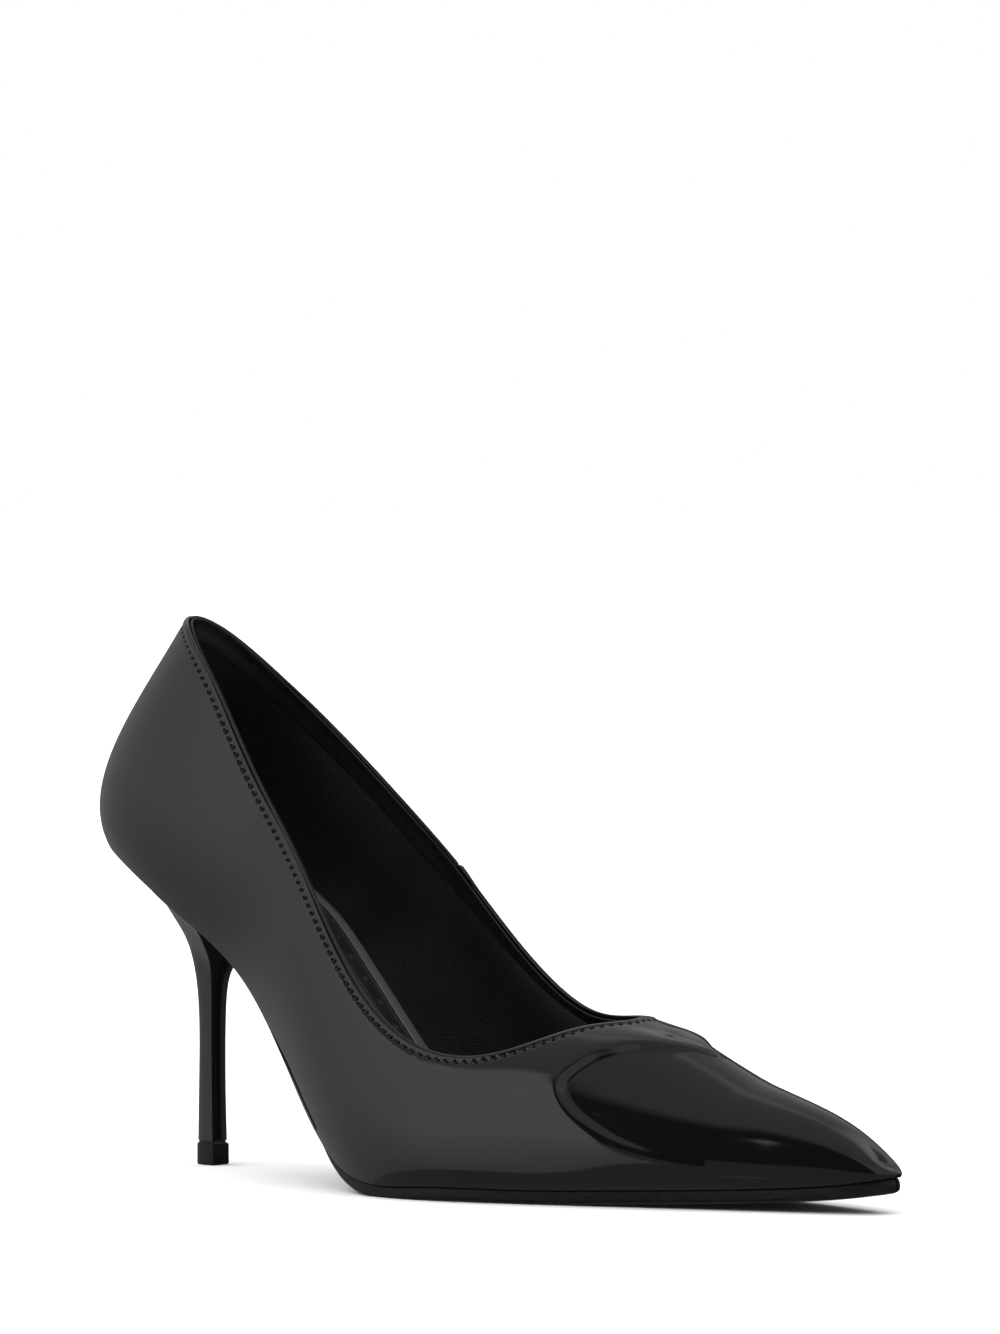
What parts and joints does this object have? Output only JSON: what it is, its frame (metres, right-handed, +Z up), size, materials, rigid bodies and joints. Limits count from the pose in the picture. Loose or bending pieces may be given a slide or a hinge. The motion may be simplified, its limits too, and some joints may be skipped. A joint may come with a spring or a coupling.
{
  "type": "high heel pump",
  "caption": "Black patent pointed-toe pump with a slim high heel, a low-cut stitched topline and a padded sock, built up in layers as a shoemaker would.",
  "frame": {"origin": "on the floor under the middle of the shoe's bounding box", "axes": "+X towards the toe, +Y towards the inner (medial) side of this right shoe, +Z up"},
  "size_m": [0.2384, 0.0824, 0.136],
  "materials": {
    "patent_leather": "high-gloss black patent, mirror-smooth lacquer over leather",
    "edge_leather": "black binding leather, satin to glossy",
    "thread": "black bonded sewing thread, satin",
    "lining_leather": "black lining leather, fine grain, matt",
    "sock_leather": "black padded sock leather, fine grain, soft sheen",
    "stiffener_board": "resin-soaked stiffener cloth, matt",
    "fibreboard": "pressed fibreboard, matt",
    "cork": "granulated cork, matt",
    "foam": "latex foam, matt",
    "spring_steel": "blued spring steel",
    "fastener_steel": "plain bright steel",
    "heel_plastic": "moulded black plastic",
    "tip_rubber": "hard black polyurethane, satin",
    "sole_leather": "black painted sole leather, glossy edge and satin tread"
  },
  "bodies": {
    "root": {"upper": "patent_leather", "topline_binding": "edge_leather", "topline_thread": "thread", "vamp_lining": "lining_leather", "quarter_lining": "lining_leather", "toe_puff": "stiffener_board", "counter_stiffener": "stiffener_board", "insole_board": "fibreboard", "shank": "spring_steel", "shank_rivet_1": "fastener_steel", "shank_rivet_2": "fastener_steel", "bottom_filler": "cork", "heel_pad": "foam", "forepart_pad": "foam", "sock_lining": "sock_leather", "sock_edge_strip": "edge_leather", "outsole": "sole_leather", "heel_core": "heel_plastic", "heel_cover": "patent_leather", "heel_dowel": "spring_steel", "heel_screw": "fastener_steel", "heel_nail_1": "fastener_steel", "heel_nail_2": "fastener_steel", "heel_nail_3": "fastener_steel", "heel_nail_4": "fastener_steel", "heel_tip": "tip_rubber", "heel_tip_pin": "fastener_steel"}
  },
  "joints": []
}
